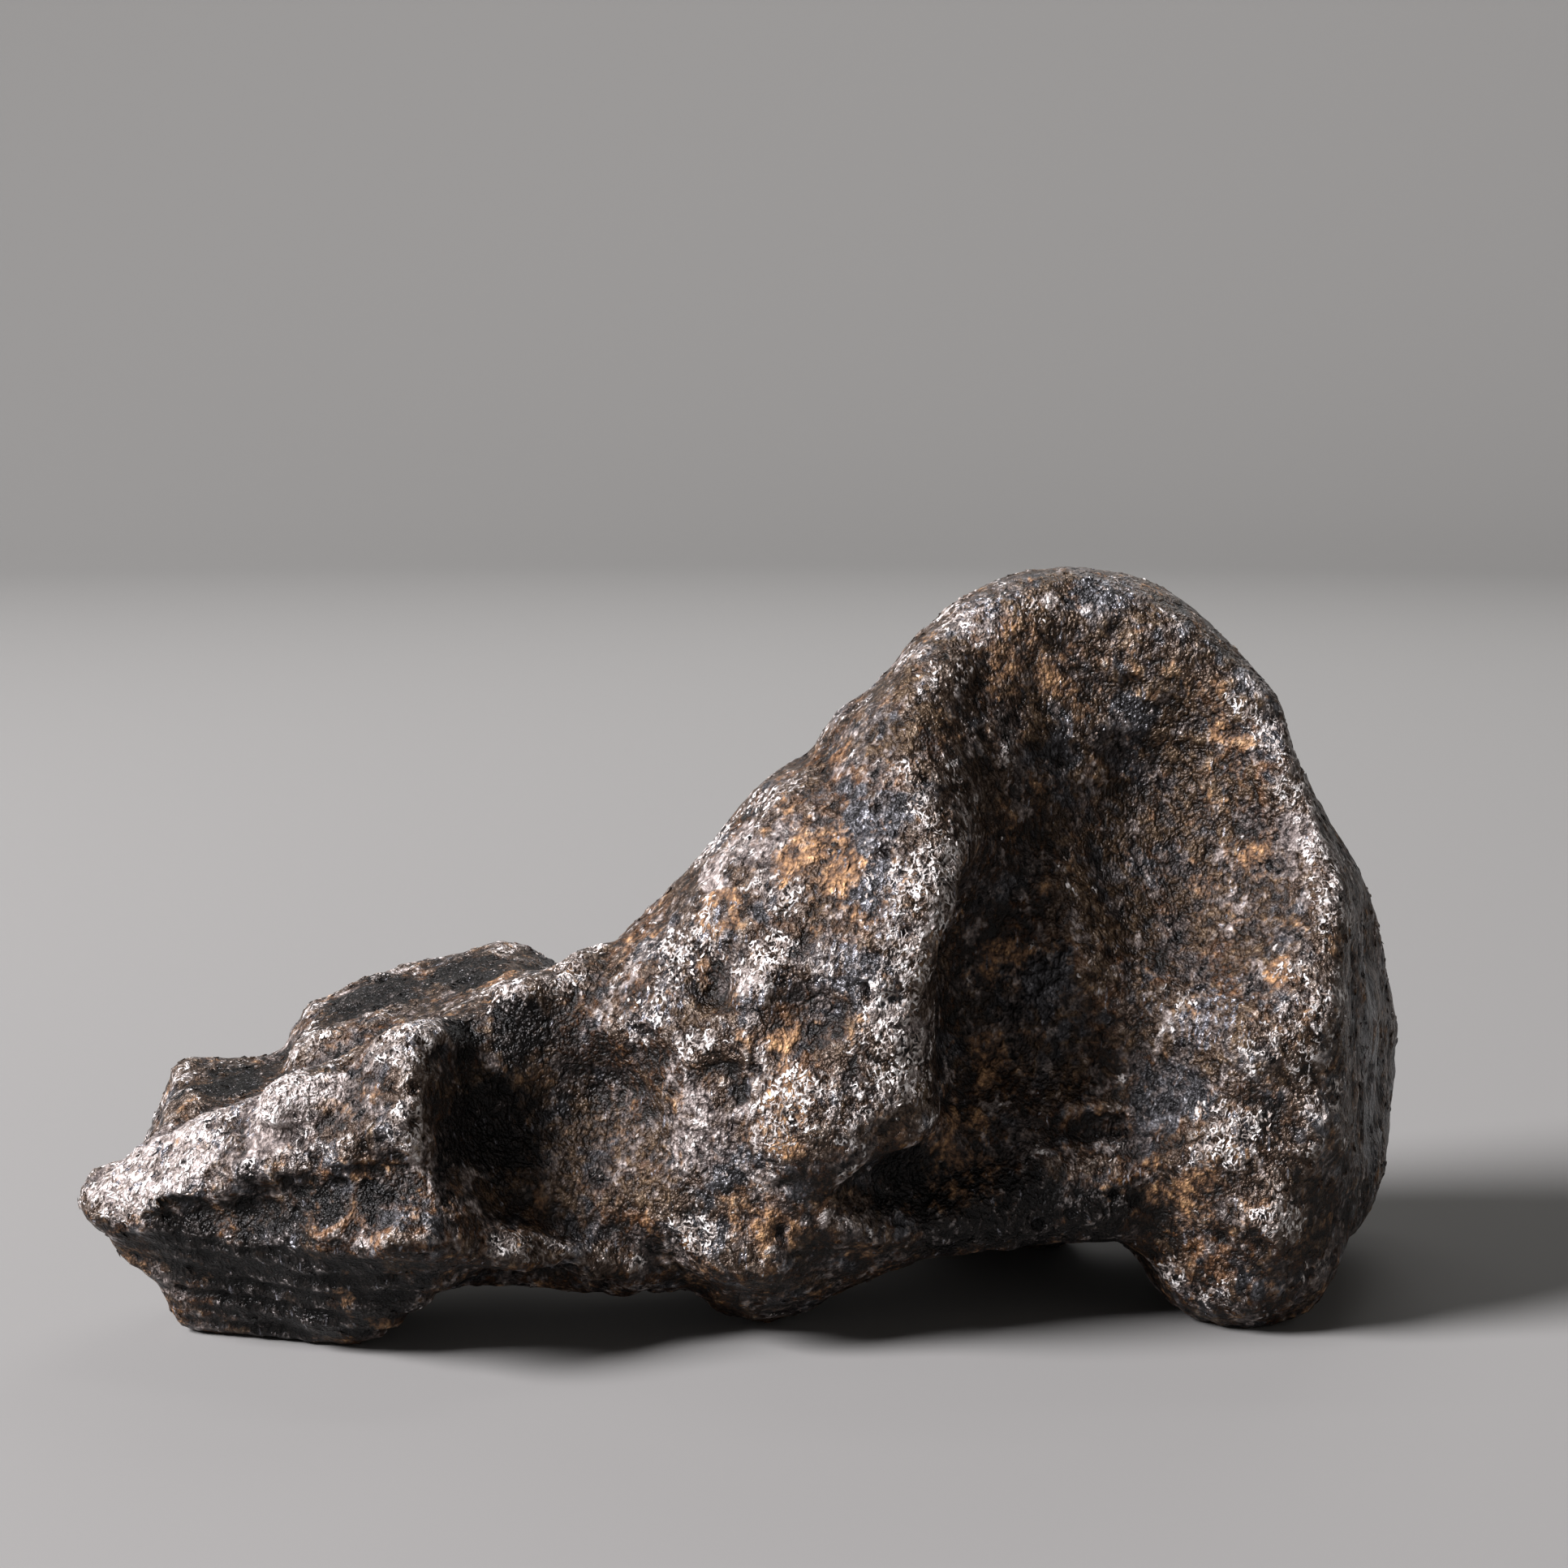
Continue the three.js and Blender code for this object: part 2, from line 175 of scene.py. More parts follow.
# Single dents and lumps: place, half sizes and height, negative for a dent.
MARKS = {
    "socket": ((-3.4, -12.0, 19.6), (2.4, 4, 2.0), 1.0),
    "socket's rim": ((-5.4, -13.6, 21.6), (1.6, 3, 1.0), 0.4),
    "dish left of it": ((-8.7, -11.6, 21.6), (3, 4, 2.2), -0.6),
    "dish above it": ((-4.2, -12.0, 25.6), (2.0, 4, 1.9), -0.8),
    "crack": ((6.2, -15.8, 26.7), (0.4, 3, 1.5), -1.2),
    "swelling beside it": ((7.3, -15.8, 26.9), (1.0, 3, 1.3), 0.35),
    "smear": ((-0.7, -13.9, 27.0), (1.0, 3, 2.4), 0.5),
    "crest dish": ((22.0, 0.4, 52.4), (2.2, 3, 1.7), -0.4),
    "ridge pit": ((14.6, -2.4, 46.6), (1.0, 3, 1.2), -0.3),
    "bowl pit": ((24.6, 0.2, 50.1), (1.0, 3, 1.2), -0.7),
    "lower bowl pit": ((26.0, 0.2, 46.2), (1.4, 3, 0.9), -0.6),
    "ledge": ((23.2, -7.0, 16.4), (3.6, 3, 0.8), 0.5),
    "crease under it": ((23.8, -7.5, 14.8), (4.4, 3, 0.7), -0.8),
    "swelling left of the middle foot": ((-8.6, -8.8, 4.4), (4.6, 5.5, 3.4), 1.1),
    "worn place left of that": ((-11.9, -10.8, 4.0), (2.4, 4, 2.0), -0.6),
}


# The relief all over, from swells to ripples: how long each form is and how high it stands. The finer
# ones are bent by slow waves and drawn out a little upright, as the real scales are.
UPRIGHT_FORMS = (1, 1, 0.8)
BEND, BEND_LENGTH, BEND_SEEDS = 0.6, 2.2, (3.1, 7.7, 12.9)
SWELL, SWELL_HEIGHT = 4.6, 0.16
CRINKLE, CRINKLE_HEIGHT = 2.9, 0.15
PLATE, PLATE_HEIGHT, PLATE_EDGE, PLATE_SUNK = 1.7, 0.08, 0.5, 0.05
RIPPLE, RIPPLE_HEIGHT = 1.3, 0.07

# Round pits: how far apart they may lie, the share of those places without one, their depth, and how far
# from the middle they begin and are deepest.
PIT_APART, NO_PIT, PIT_DEPTH, PIT_WALL = 2.4, 0.76, 0.4, (0.8, 0.2)

# The film lies smoother than the rest, by this share, with a ragged border of its own.
FILM_SMOOTHS, FILM_SEED = 0.5, 84

# Thin layers that show as steps: their pitch, their length along the surface, and in each of two regions
# their height and which way they lean. On the spur they run along its underside and, by half, its front.
# In the bowl they are wrinkles.
LAYER_PITCH, LAYER_LENGTH = 0.9, 9
SPUR_LAYERS, SPUR_LEAN = 0.4, (0.05, 0.0, 0.998)
SPUR_X = (-17, -24)
UNDERSIDE = (0.05, -0.25)
FRONT_Y, FRONT_SHARE = (-9, -6), 0.5
WRINKLES, WRINKLE_LEAN = 0.3, (0.12, 0.0, 0.993)
WRINKLES_AT, WRINKLES_SIZE = np.array((26.0, -1.0, 43.0)), np.array((12.0, 9.0, 8.0))


def layered(points, lean, seed):
    """Thin layers seen edge on: steps across them, drawn out along them."""
    across = points @ np.array(lean)
    along = points - np.outer(across, lean)
    return waves(along / LAYER_LENGTH + np.outer(across, lean) / LAYER_PITCH, 1.0, seed)


def relief(points, normals):
    """Heights of the fine skin over the smooth form: swells, crinkles, worn plates, pits and layers."""
    bends = np.stack([waves(points, BEND_LENGTH, seed) for seed in BEND_SEEDS], axis=1)
    bent = points * UPRIGHT_FORMS + BEND * bends
    height = SWELL_HEIGHT * waves(points, SWELL, 21.3)
    height += CRINKLE_HEIGHT * (crinkles(bent, CRINKLE, 4.4) - 0.5)
    _, border, lot = cells(bent, PLATE, 31.7)
    height += PLATE_HEIGHT * step(border, 0, PLATE_EDGE) * (0.4 + lot) - PLATE_SUNK
    height += RIPPLE_HEIGHT * waves(bent, RIPPLE, 61.9)
    pit_middle, _, pit_lot = cells(points, PIT_APART, 54.1)
    height -= PIT_DEPTH * (pit_lot > NO_PIT) * step(pit_middle, *PIT_WALL)
    height *= 1 - FILM_SMOOTHS * patch_mask(points, "film", FILM_SEED)
    under_or_front = np.maximum(step(normals[:, 2], *UNDERSIDE), FRONT_SHARE * step(points[:, 1], *FRONT_Y))
    on_spur = step(points[:, 0], *SPUR_X) * under_or_front
    height += on_spur * SPUR_LAYERS * layered(points, SPUR_LEAN, 71.3)
    height += spot(points, WRINKLES_AT, WRINKLES_SIZE) * WRINKLES * layered(points, WRINKLE_LEAN, 77.3)
    for at, size, depth in MARKS.values():
        height += depth * spot(points, at, size)
    return height


def build_skin():
    """The solid's mesh made finer and evened out, its edges drawn out again, with the relief on it."""
    skin = solid_skin("meteorite")
    for _ in range(DIVISIONS):
        skin = skin.quartered().eased(EASE_ROUNDS)
    normals = skin.normals()
    skin.points += normals * (SHARPEN * skin.blurred(skin.bulge(SHARPEN_ROUNDS), 2))[:, None]
    normals = skin.normals()
    heights = relief(skin.points, normals)
    skin.points += normals * heights[:, None]
    skin.points[:, 2] = np.maximum(skin.points[:, 2], 0)
    return skin


def mesh_object(name, skin, attributes, material):
    """A skin as an object of its own, with what is known of each point as attributes."""
    mesh = bpy.data.meshes.new(name)
    mesh.from_pydata((skin.points * MM).tolist(), [], skin.faces.tolist())
    for title, values in attributes.items():
        mesh.attributes.new(title, "FLOAT", "POINT").data.foreach_set("value", values.astype(np.float32))
    mesh.shade_smooth()
    mesh.materials.append(material)
    piece = bpy.data.objects.new(name, mesh)
    bpy.context.scene.collection.objects.link(piece)
    return piece


# Where the finish changes, and where shade and highlights are painted: a place and a radius for each patch,
# by the kind of finish.
PATCHES = {
    "rust": [
        ((3.2, -11.0, 35.0), 5.5), ((-3.4, -10.0, 31.6), 3), ((0.2, -14.8, 23.0), 2.6),
        ((0.4, -15.4, 20.6), 3), ((0.6, -16.4, 17.0), 3.2), ((-1.4, -14.9, 10.6), 4),
        ((16.0, -2.2, 47.6), 3.6), ((20.3, -0.9, 46.9), 2.6), ((33.7, -1.7, 42.9), 1.8),
        ((34.6, -2.9, 33.6), 2.2), ((31.6, -2.0, 31.6), 2.2), ((36.5, -9.8, 26.7), 2),
        ((15.1, -6.5, 20.6), 3.4), ((16.6, -5.0, 26.2), 3), ((12.9, -10.1, 13.3), 5),
        ((29.5, -10.7, 11.7), 3.8), ((-20.4, -2.2, 24.8), 3), ((-30.4, -14.3, 20.8), 2.2),
        ((-28.4, -14.6, 3.8), 3.4),
    ],
    "crust": [
        ((-3.2, -3.4, 36.0), 3.2), ((-4.9, -4.3, 33.8), 2.8), ((-0.9, -4.3, 38.2), 2.6),
        ((11.8, -12.5, 35.2), 2.4), ((10.6, -13.4, 33.1), 2.4), ((9.8, -14.4, 29.3), 2.6),
        ((8.3, -15.8, 24.0), 3.2), ((9.2, -16.3, 20.7), 3), ((-5.9, -10.3, 27.9), 3.4),
        ((-8.7, -11.3, 24.1), 3.2), ((-0.8, -13.4, 28.6), 2.6), ((1.4, -16.0, 20.1), 3),
        ((-25.3, -14.1, 23.6), 1.8), ((-22.3, -11.3, 24.2), 1.6), ((-19.2, -8.6, 25.0), 1.7),
        ((-16.0, -5.8, 26.1), 1.8), ((-12.5, -4.6, 27.4), 1.8), ((-5.9, -13.7, 7.9), 3),
        ((31.1, -11.3, 16.0), 3), ((32.7, -11.7, 15.5), 2.6), ((28.3, -8.3, 5.0), 2.6),
        ((31.6, -9.7, 3.6), 2.6), ((35.6, -12.1, 9.1), 2.8), ((18.8, -0.3, 52.5), 2.4),
        ((14.3, -1.9, 50.0), 1.6), ((-35.2, -15.2, 18.3), 4), ((-39.5, -12.8, 15.8), 3.5),
        ((-45.6, -12.2, 12.6), 3.5),
    ],
    # Pinkish grey bloom; the patches on the spur's front are painted highlight where the light falls
    # brightest.
    "pink": [
        ((8.5, -14.5, 24.0), 3), ((-35.2, -15.0, 18.6), 5.4), ((-42.0, -12.0, 15.6), 5),
        ((-45.6, -11.6, 12.8), 3.6), ((0.0, -9.0, 35.0), 4), ((15.0, -1.0, 51.0), 2.6),
        ((38.0, -6.0, 36.0), 4), ((-4.0, -14.0, 17.0), 4),
    ],
    "film": [
        ((26.0, -1.0, 41.0), 13), ((24.0, -3.0, 28.0), 7.5), ((33.0, -5.0, 30.0), 8),
        ((20.0, -1.0, 50.0), 9), ((28.0, 0.0, 51.0), 7), ((-18.0, -11.5, 15.0), 9),
        ((-9.0, -12.0, 14.0), 6), ((19.0, -5.0, 22.0), 7), ((31.0, -9.0, 22.0), 6), ((8.0, -5.0, 44.0), 6),
        ((-6.0, -12.0, 25.0), 3.6), ((13.5, -2.5, 49.0), 3.6),
    ],
    # Oxide patches, partly painted shade: those under the ridge, in the valley beside it, on the hollow's
    # walls, on the spur's underside and on the right end lie where shadow falls.
    "oxide": [
        ((16.0, -11.0, 11.0), 7), ((22.0, -9.0, 10.0), 6), ((10.0, -12.0, 11.0), 5),
        ((-22.0, -15.5, 13.0), 8), ((-16.0, -10.0, 18.0), 7), ((-36.0, -15.5, 8.0), 9),
        ((-28.0, -17.0, 7.5), 8), ((-42.0, -12.0, 7.0), 7), ((15.0, -6.0, 22.0), 7),
        ((16.0, -5.0, 31.0), 5), ((41.0, -8.0, 9.0), 6), ((8.5, -14.5, 13.5), 4),
        ((-22.0, -12.5, 20.0), 4.5), ((-17.5, -9.5, 21.0), 5.5), ((-12.5, -8.0, 21.0), 5),
        ((13.0, -12.0, 26.0), 4), ((12.6, -12.0, 20.0), 4), ((14.0, -10.0, 32.0), 4),
        ((-38.5, -16.0, 11.6), 4), ((-32.0, -18.5, 12.2), 4), ((-40.5, -14.5, 9.0), 6),
        ((-33.0, -16.0, 6.0), 9), ((12.0, -12.5, 8.0), 6), ((20.0, -11.0, 7.0), 7),
        ((-8.0, -11.5, 19.0), 3.5), ((-9.5, -10.5, 24.5), 3.5), ((4.0, -14.0, 6.5), 5),
        ((26.5, -9.0, 12.0), 4), ((46.0, -2.0, 24.0), 7), ((45.0, 0.0, 14.0), 8), ((44.0, 2.0, 34.0), 5),
        ((-36.0, -16.0, 12.0), 4), ((10.0, -6.0, 42.0), 3.4),
    ],
    "slate": [
        ((22.3, 0.2, 52.7), 4), ((25.1, -0.3, 42.7), 3.6), ((20.3, -1.7, 41.1), 3.4),
        ((20.9, -4.4, 20.7), 3.4), ((19.6, -4.6, 25.0), 3), ((5.9, -10.4, 37.7), 4),
        ((4.8, -14.4, 27.6), 3.4), ((7.0, -12.6, 34.1), 3.4), ((28.6, -8.1, 18.7), 4),
        ((-3.0, -15.0, 14.6), 3), ((-3.7, -11.5, 19.8), 2.6),
    ],
    # Painted highlight: the lit upper faces of the spur and of the left slope made whitish.
    "pale": [
        ((-34.7, -15.8, 17.8), 4.6), ((-30.4, -16.0, 19.4), 3), ((-41.4, -13.0, 14.8), 4),
        ((-45.2, -12.4, 12.8), 3.4), ((-2.0, -6.4, 35.6), 3), ((-4.4, -7.0, 33.0), 2.6),
    ],
    # Near-black scale, partly painted shade: the patches on the spur's underside and groove, in the hollow
    # and under the ridge lie where shadow falls.
    "dark": [
        ((-41.0, -13.6, 7.6), 5), ((-37.0, -13.9, 6.6), 6), ((-32.2, -15.4, 6.0), 6),
        ((-27.6, -16.5, 6.4), 5), ((-35.9, -11.5, 2.4), 6), ((-30.3, -14.2, 3.0), 4),
        ((-34.2, -16.3, 9.6), 3.4), ((-36.7, -14.9, 11.0), 2.4), ((-31.4, -17.1, 12.2), 2.6),
        ((-27.0, -18.4, 13.4), 2.8), ((-39.9, -5.0, 17.0), 4.4), ((-30.4, 0.7, 22.4), 5),
        ((-22.5, 1.0, 24.6), 4.6), ((-22.0, -10.4, 22.0), 3), ((-17.6, -9.3, 22.4), 3.4),
        ((-20.0, -12.0, 16.0), 6), ((12.9, -11.6, 9.4), 5), ((17.5, -10.6, 9.0), 5),
        ((8.9, -11.2, 12.3), 4), ((23.0, -9.0, 9.0), 4),
    ],
    # Rubbed metal, partly painted glints: pale bluish upright smears placed where the light catches the
    # surface.
    "rubbed": [
        ((-0.8, -14.0, 26.7), 3.2), ((4.0, -14.6, 28.2), 3), ((-3.6, -10.5, 30.8), 2.8),
        ((7.2, -15.2, 30.6), 2.4), ((7.5, -15.8, 26.9), 1.8), ((7.3, -13.9, 33.2), 3.4),
        ((5.9, -10.8, 37.2), 3.4), ((-4.8, -10.7, 28.0), 3), ((-8.7, -11.2, 24.4), 3),
        ((25.0, 1.0, 53.0), 4), ((16.0, -1.0, 51.0), 3), ((31.2, -9.6, 23.7), 4), ((-38.0, -12.5, 16.5), 4),
        ((-44.0, -12.1, 13.8), 4), ((-25.3, -14.1, 23.6), 3), ((33.3, -11.7, 15.5), 3),
    ],
}


# The borders of all patches are ragged: how far they are bent, the length of the bends, and the share of
# a patch's radius where it is full.
RAGGED, RAGGED_LENGTH, RAGGED_SEEDS = 1.6, 3.2, (0.3, 5.1, 9.7)
PATCH_CORE = 0.35

# The sides that the patches above leave out have broad ones of their own: where the back and the end
# begin and are full, the patches' length, and for each kind where a wave of that length begins and where
# it is full.
BACK_Y = (3, 9)
END_X = (41, 45)
HIDDEN_LENGTH = 12
HIDDEN_PATCHES = {
    "rust": (0.3, 0.6), "film": (0.0, 0.3), "oxide": (0.1, 0.4), "slate": (0.25, 0.5), "pink": (0.3, 0.6),
}


def patch_mask(points, name, seed):
    """How far each point lies in that kind's patches, with ragged borders."""
    bends = np.stack([waves(points, RAGGED_LENGTH, seed + k) for k in RAGGED_SEEDS], axis=1)
    bent = points + RAGGED * bends
    mask = np.zeros(len(points))
    for at, radius in PATCHES[name]:
        mask = np.maximum(mask, step(np.linalg.norm(bent - at, axis=1), radius, PATCH_CORE * radius))
    if name in HIDDEN_PATCHES:
        behind = np.maximum(step(points[:, 1], *BACK_Y), step(points[:, 0], *END_X))
        wide_waves = waves(bent, HIDDEN_LENGTH, seed * 3.7)
        mask = np.maximum(mask, behind * step(wide_waves, *HIDDEN_PATCHES[name]))
    return mask


# What a worn edge and a hollow are: the rounds of blurring that they stand out of or lie under, and by
# how much where they are full. Edges come out paler, partly wear and partly painted highlight. Hollows gather
# oxide, and faces turned down are darkened in the same mask as painted shade.
EDGE_ROUNDS, EDGE_FULL = 3, 0.07
HOLLOW_ROUNDS, HOLLOW_FULL, HOLLOW_RANGE = 60, 0.6, (-0.8, 0.5)
UNDER_ROUNDS, UNDER_RANGE, UNDER_PAINTED_SHADE = 8, (0.0, -0.5), 1.2

# Where oxide and its painted shade pass this share they crowd out crust, the pink layer and rubbed metal with
# its painted glints, and so does the dark painted shade and scale.
OXIDE_AND_SHADE_FROM = 0.2
CROWDED_OUT = 0.7

# Crumbs lie in clusters, shares of waves of two lengths with their seeds, with more of them in the crust
# and fewer in oxide and painted shade and on the spur's end. They begin and are thickest at these values.
CRUMB_CLUSTERS = ((0.8, 1.5, 91.7), (0.9, 4.0, 95.1))
CRUMBS_IN_CRUST, CRUMBS_LOST_IN_OXIDE_AND_SHADE = 0.9, 0.3
CRUMB_RANGE = (0.55, 1.15)
CRUMBS_LOST_ON_SPUR, SPUR_END_X = 0.6, (-27, -33)

# Flakes: how thickly they lie on average and how far that swings with a wave of what length, and how much
# fewer there are in film and in oxide and painted shade.
FLAKES_MEAN, FLAKES_SWING, FLAKES_LENGTH = 0.75, 0.6, 2.6
FLAKES_LOST_IN_FILM, FLAKES_LOST_IN_OXIDE_AND_SHADE = 0.75, 0.3


def skin_attributes(skin):
    """For each point: how far it lies in each kind of patch, on a convex edge, partly worn and partly painted
    paler, and under crumbs and flakes.
    """
    points = skin.points
    attributes = {name: patch_mask(points, name, seed) for seed, name in enumerate(PATCHES, start=80)}
    oxide = attributes["oxide"]
    attributes["edge"] = np.clip(skin.bulge(EDGE_ROUNDS) / EDGE_FULL, -1, 1)
    # Painted shade: faces turned down are darkened by adding them to the oxide mask; the hollows' share is
    # oxide.
    under = step(skin.blurred(skin.normals(), UNDER_ROUNDS)[:, 2], *UNDER_RANGE)
    oxide += UNDER_PAINTED_SHADE * under + np.clip(-skin.bulge(HOLLOW_ROUNDS) / HOLLOW_FULL, *HOLLOW_RANGE)
    clean = 1 - CROWDED_OUT * np.clip(oxide - OXIDE_AND_SHADE_FROM, 0, 1)
    for name in ("crust", "pink", "rubbed"):
        attributes[name] *= clean * (1 - CROWDED_OUT * attributes["dark"])
    clusters = sum(share * waves(points, length, seed) for share, length, seed in CRUMB_CLUSTERS)
    clusters += CRUMBS_IN_CRUST * attributes["crust"] - CRUMBS_LOST_IN_OXIDE_AND_SHADE * oxide
    attributes["crumbs"] = step(clusters, *CRUMB_RANGE)
    attributes["crumbs"] *= 1 - CRUMBS_LOST_ON_SPUR * step(points[:, 0], *SPUR_END_X)
    flakes = FLAKES_MEAN + FLAKES_SWING * waves(points, FLAKES_LENGTH, 97.3)
    flakes -= FLAKES_LOST_IN_FILM * attributes["film"] + FLAKES_LOST_IN_OXIDE_AND_SHADE * oxide
    attributes["flakes"] = np.clip(flakes, 0, 1)
    return attributes


def linear(colour):
    """A colour written as an sRGB hex string, as linear red, green, blue and alpha."""
    shares = [int(colour[i : i + 2], 16) / 255 for i in (1, 3, 5)]
    return [c / 12.92 if c <= 0.04045 else ((c + 0.055) / 1.055) ** 2.4 for c in shares] + [1.0]


def add_node(tree, kind, inputs=None, stops=(), **settings):
    """Adds a node, makes its settings, fills or links its inputs, each by name or place, and sets its ramp's
    stops."""
    node = tree.nodes.new(kind)
    for name, value in settings.items():
        setattr(node, name, value)
    for key, value in (inputs or {}).items():
        if isinstance(value, bpy.types.NodeSocket):
            tree.links.new(value, node.inputs[key])
        else:
            node.inputs[key].default_value = value
    for number, (position, colour) in enumerate(stops):
        elements = node.color_ramp.elements
        stop = elements[number] if number < 2 else elements.new(position)
        stop.position = position
        stop.color = linear(colour)
    return node


# Places of a Mix node's sockets for numbers and for colours.
FACTOR, A, B, RESULT = 0, 2, 3, 0
COLOUR_A, COLOUR_B, COLOUR_RESULT = 6, 7, 2

# How tall the grain is drawn beside its width: it is drawn out upright by as much as 1 is over this.
UPRIGHT = 0.85

# Millimetres across of the metal's grain, from its lumps to its grit, and the height of each as a share
# of the deepest relief. Grit much finer than this can't be seen, so it is drawn a little coarser than the
# real one.
LUMP, LUMP_HEIGHT = 0.9, 0.3
CHIP, CHIP_DEPTH = 0.8, -0.18
SCALE, SCALE_DEPTH = 0.36, -0.2
GRIT, GRIT_HEIGHT = 0.18, 0.22
DEEPEST = 0.9
BASE = 0.402

# The size of the swirls that bend the grain, and how far convex edges are raised where the colours follow it,
# which paints them paler: partly wear, partly painted highlight.
SWIRL = 1.1
EDGE_LIFT = 0.1

# Bare iron: its colours from the bottoms of the finest pits to the tips of the finest crests, where on
# the height of the grain each colour lies, and how metallic and how rough it is. Darker pits and paler crests
# are partly painted shade and painted glints, and all layers but the crust follow the same height.
STOPS = (0.36, 0.47, 0.58, 0.7)
IRON = (("#150f0b", "#382a20", "#5f534a", "#a49b95"), 0.5, 0.34)

# What lies on the iron, from the bottom up, with painted shade and painted highlights among the layers, as
# their names say. Each has the mesh attribute that says where there is more of it and how much that adds, the
# lengths in millimetres of the coarse and fine noise that breaks it up, where its mask begins and is full,
# and its colours, metalness and roughness as above.
LAYERS = {
    # Brown over the oxide and over the painted shade of undersides and shadowed places.
    "thin brown oxide and painted shade, still metallic": (
        "oxide", 0.2, 6.3, 1.3, (1.02, 1.22), ("#1c0f05", "#462c17", "#70523a", "#a08b78"), 0.2, 0.42,
    ),
    # Near-black in the hollows as oxide, and on undersides and where shadow falls as painted shade.
    "thick near-black oxide and painted shade in hollows, undersides and shadows, dull": (
        "oxide", 0.5, 3.4, 0.8, (1.0, 1.16), ("#050200", "#180c04", "#341e0c", "#644524"), 0.0, 0.6,
    ),
    "smooth brown film, softly shiny": (
        "film", 0.3, 2.2, 0.7, (1.08, 1.26), ("#130b05", "#34261a", "#574635", "#857463"), 0.3, 0.36,
    ),
    "slate-grey oxide with a sheen": (
        "slate", 0.34, 3.1, 0.9, (1.1, 1.24), ("#171617", "#323133", "#58575a", "#9a999d"), 0.5, 0.3,
    ),
    # Partly painted highlight: brightest on the spur's lit front.
    "pinkish grey bloom, a painted highlight on the spur": (
        "pink", 0.3, 2.6, 0.5, (1.06, 1.3), ("#2a2220", "#5f5552", "#948a86", "#d2cac7"), 0.2, 0.5,
    ),
    # Painted highlight: whitish on the lit upper faces.
    "whitish painted highlight on the lit upper faces": (
        "pale", 0.5, 2.4, 0.5, (1.14, 1.4), ("#4e4542", "#8b7f7a", "#c4bab7", "#f0ebe9"), 0.1, 0.45,
    ),
    "orange rust, quite matt": (
        "rust", 0.34, 1.9, 0.45, (1.14, 1.42), ("#2e2017", "#694d37", "#a07b57", "#dab384"), 0.0, 0.7,
    ),
    # Partly painted shade: near-black where shadow falls, with a pale top colour painted as glints at its
    # edges.
    "near-black painted shade and scale, with painted glints at its edges": (
        "dark", 0.45, 2.6, 0.5, (1.12, 1.32), ("#030202", "#0b0807", "#241f1d", "#8a8381"), 0.5, 0.32,
    ),
}
COARSE_SHARE, COARSE_DETAIL = 1.4, 3.0
FINE_SHARE, FINE_DETAIL = 0.6, 1.0

# A thin coat of wax over all of it. What lies under the wax is dull and mirrors less than a polished face.
WAX = 0.12
WAX_ROUGHNESS = 0.26
DULL_SHEEN = 0.22

# Rubbed metal, its pale streaks partly painted glints: streaks of so many millimetres across, drawn out
# upright, what its patches add, where its mask begins and is full, and its colours, metalness and roughness.
RUBBED_GLINT_WIDTH, RUBBED_GLINT_UPRIGHT = 0.42, 0.25
RUBBED_GLINT_BIAS = 0.13
RUBBED_GLINT_RANGE = (0.66, 0.74)
RUBBED_METAL_AND_GLINTS = (("#28272a", "#5f5e63", "#a0a0a8", "#dedfe6"), 0.7, 0.26)

# The crust's thin ragged lines: how far apart they are and how wide, and how high they stand. Noise of
# two lengths breaks them into clusters of bits, and each attribute adds to the clusters or takes from
# them.
LINES = 0.5
LINE_EDGES = (0.085, 0.04)
LINE_HEIGHT = 0.16
CLUSTER, CLUSTER_SHARE = 2.5, 0.6
BIT, BIT_SHARE = 0.5, 0.4
CLUSTER_WEIGHTS = {"crust": 0.13, "edge": 0.04, "film": -0.09, "oxide": -0.1, "dark": -0.1}
CLUSTER_RANGE = (0.57, 0.62)
CRUST_SHADE = 0.7
CRUST_STOPS = (0.36, 0.45, 0.54, 0.64)
CRUST = (("#6a5f59", "#948a84", "#c4bcb8", "#ebe7e5"), 0.0, 0.7)


